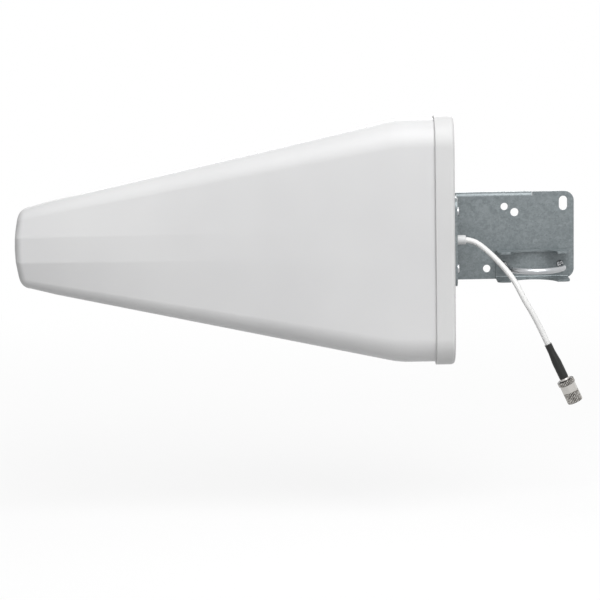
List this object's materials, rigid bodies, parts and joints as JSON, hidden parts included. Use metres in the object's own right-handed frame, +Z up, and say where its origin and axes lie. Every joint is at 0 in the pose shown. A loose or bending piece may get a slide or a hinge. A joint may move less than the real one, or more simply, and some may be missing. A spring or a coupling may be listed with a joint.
{
  "type": "log-periodic antenna",
  "caption": "Panel log-periodic antenna: tapered white radome with rear cap, steel mast bracket with saddle and U-bolt, and a short coax pigtail with a threaded plug.",
  "frame": {"origin": "centre of the mast clamp, on the mast's axis in the plane of the U-bolt", "axes": "+Z up along the mast, the antenna points along -X, the bracket plate is on the +Y side"},
  "size_m": [0.5717, 0.0967, 0.2927],
  "materials": {
    "radome_shell": "glossy UV-stable white moulding",
    "cap_shell": "satin white moulding",
    "seal_rubber": "black rubber seal",
    "insert_brass": "turned brass",
    "boom_aluminium": "mill-finish aluminium",
    "rod_aluminium": "drawn aluminium",
    "spacer_plastic": "natural moulded plastic",
    "strap_brass": "thin brass strip",
    "cable_jacket": "white extruded jacket",
    "galvanised_sheet": "blue-grey galvanised sheet with faint spangle",
    "zinc_plate": "bright zinc plate",
    "gland_plastic": "white moulded plastic",
    "shrink_black": "black heat-shrink sleeve",
    "nickel_plate": "nickel-plated brass",
    "insulator_white": "white insulator",
    "pin_gold": "gold-plated contact",
    "ring_steel": "spring steel"
  },
  "bodies": {
    "antenna": {"bracket": "galvanised_sheet", "bracket_screws": "zinc_plate", "bracket_washers": "zinc_plate", "cable": "cable_jacket", "cable_gland": "gland_plastic", "cap_gasket": "seal_rubber", "crimp_ferrule": "nickel_plate", "far_boom": "boom_aluminium", "far_rod_01": "rod_aluminium", "far_rod_02": "rod_aluminium", "far_rod_03": "rod_aluminium", "far_rod_04": "rod_aluminium", "far_rod_05": "rod_aluminium", "far_rod_06": "rod_aluminium", "far_rod_07": "rod_aluminium", "far_rod_08": "rod_aluminium", "far_rod_09": "rod_aluminium", "far_rod_10": "rod_aluminium", "far_rod_11": "rod_aluminium", "feed_strap": "strap_brass", "front_spacer": "spacer_plastic", "gland_nut": "gland_plastic", "heat_shrink": "shrink_black", "inner_coax": "cable_jacket", "middle_spacer": "spacer_plastic", "near_boom": "boom_aluminium", "near_rod_01": "rod_aluminium", "near_rod_02": "rod_aluminium", "near_rod_03": "rod_aluminium", "near_rod_04": "rod_aluminium", "near_rod_05": "rod_aluminium", "near_rod_06": "rod_aluminium", "near_rod_07": "rod_aluminium", "near_rod_08": "rod_aluminium", "near_rod_09": "rod_aluminium", "near_rod_10": "rod_aluminium", "near_rod_11": "rod_aluminium", "nose_support": "spacer_plastic", "plug_body": "nickel_plate", "plug_gasket": "seal_rubber", "plug_insulator": "insulator_white", "plug_pin": "pin_gold", "radome": "radome_shell", "rear_cap": "cap_shell", "rear_spacer": "spacer_plastic", "rear_support": "spacer_plastic", "retaining_ring": "ring_steel", "saddle": "galvanised_sheet", "shorting_block": "boom_aluminium", "threaded_inserts": "insert_brass", "u_bolt": "zinc_plate", "u_bolt_nuts": "zinc_plate", "u_bolt_spring_washers": "zinc_plate", "u_bolt_washers": "zinc_plate"},
    "coupling_nut": {"coupling_nut": "nickel_plate"}
  },
  "joints": [
    {"name": "nut_turn", "type": "hinge", "parent": "antenna", "child": "coupling_nut", "pos_m": [0.02788, -0.0355, -0.11215], "axis": [0.4232, 0, -0.906], "continuous": true}
  ]
}
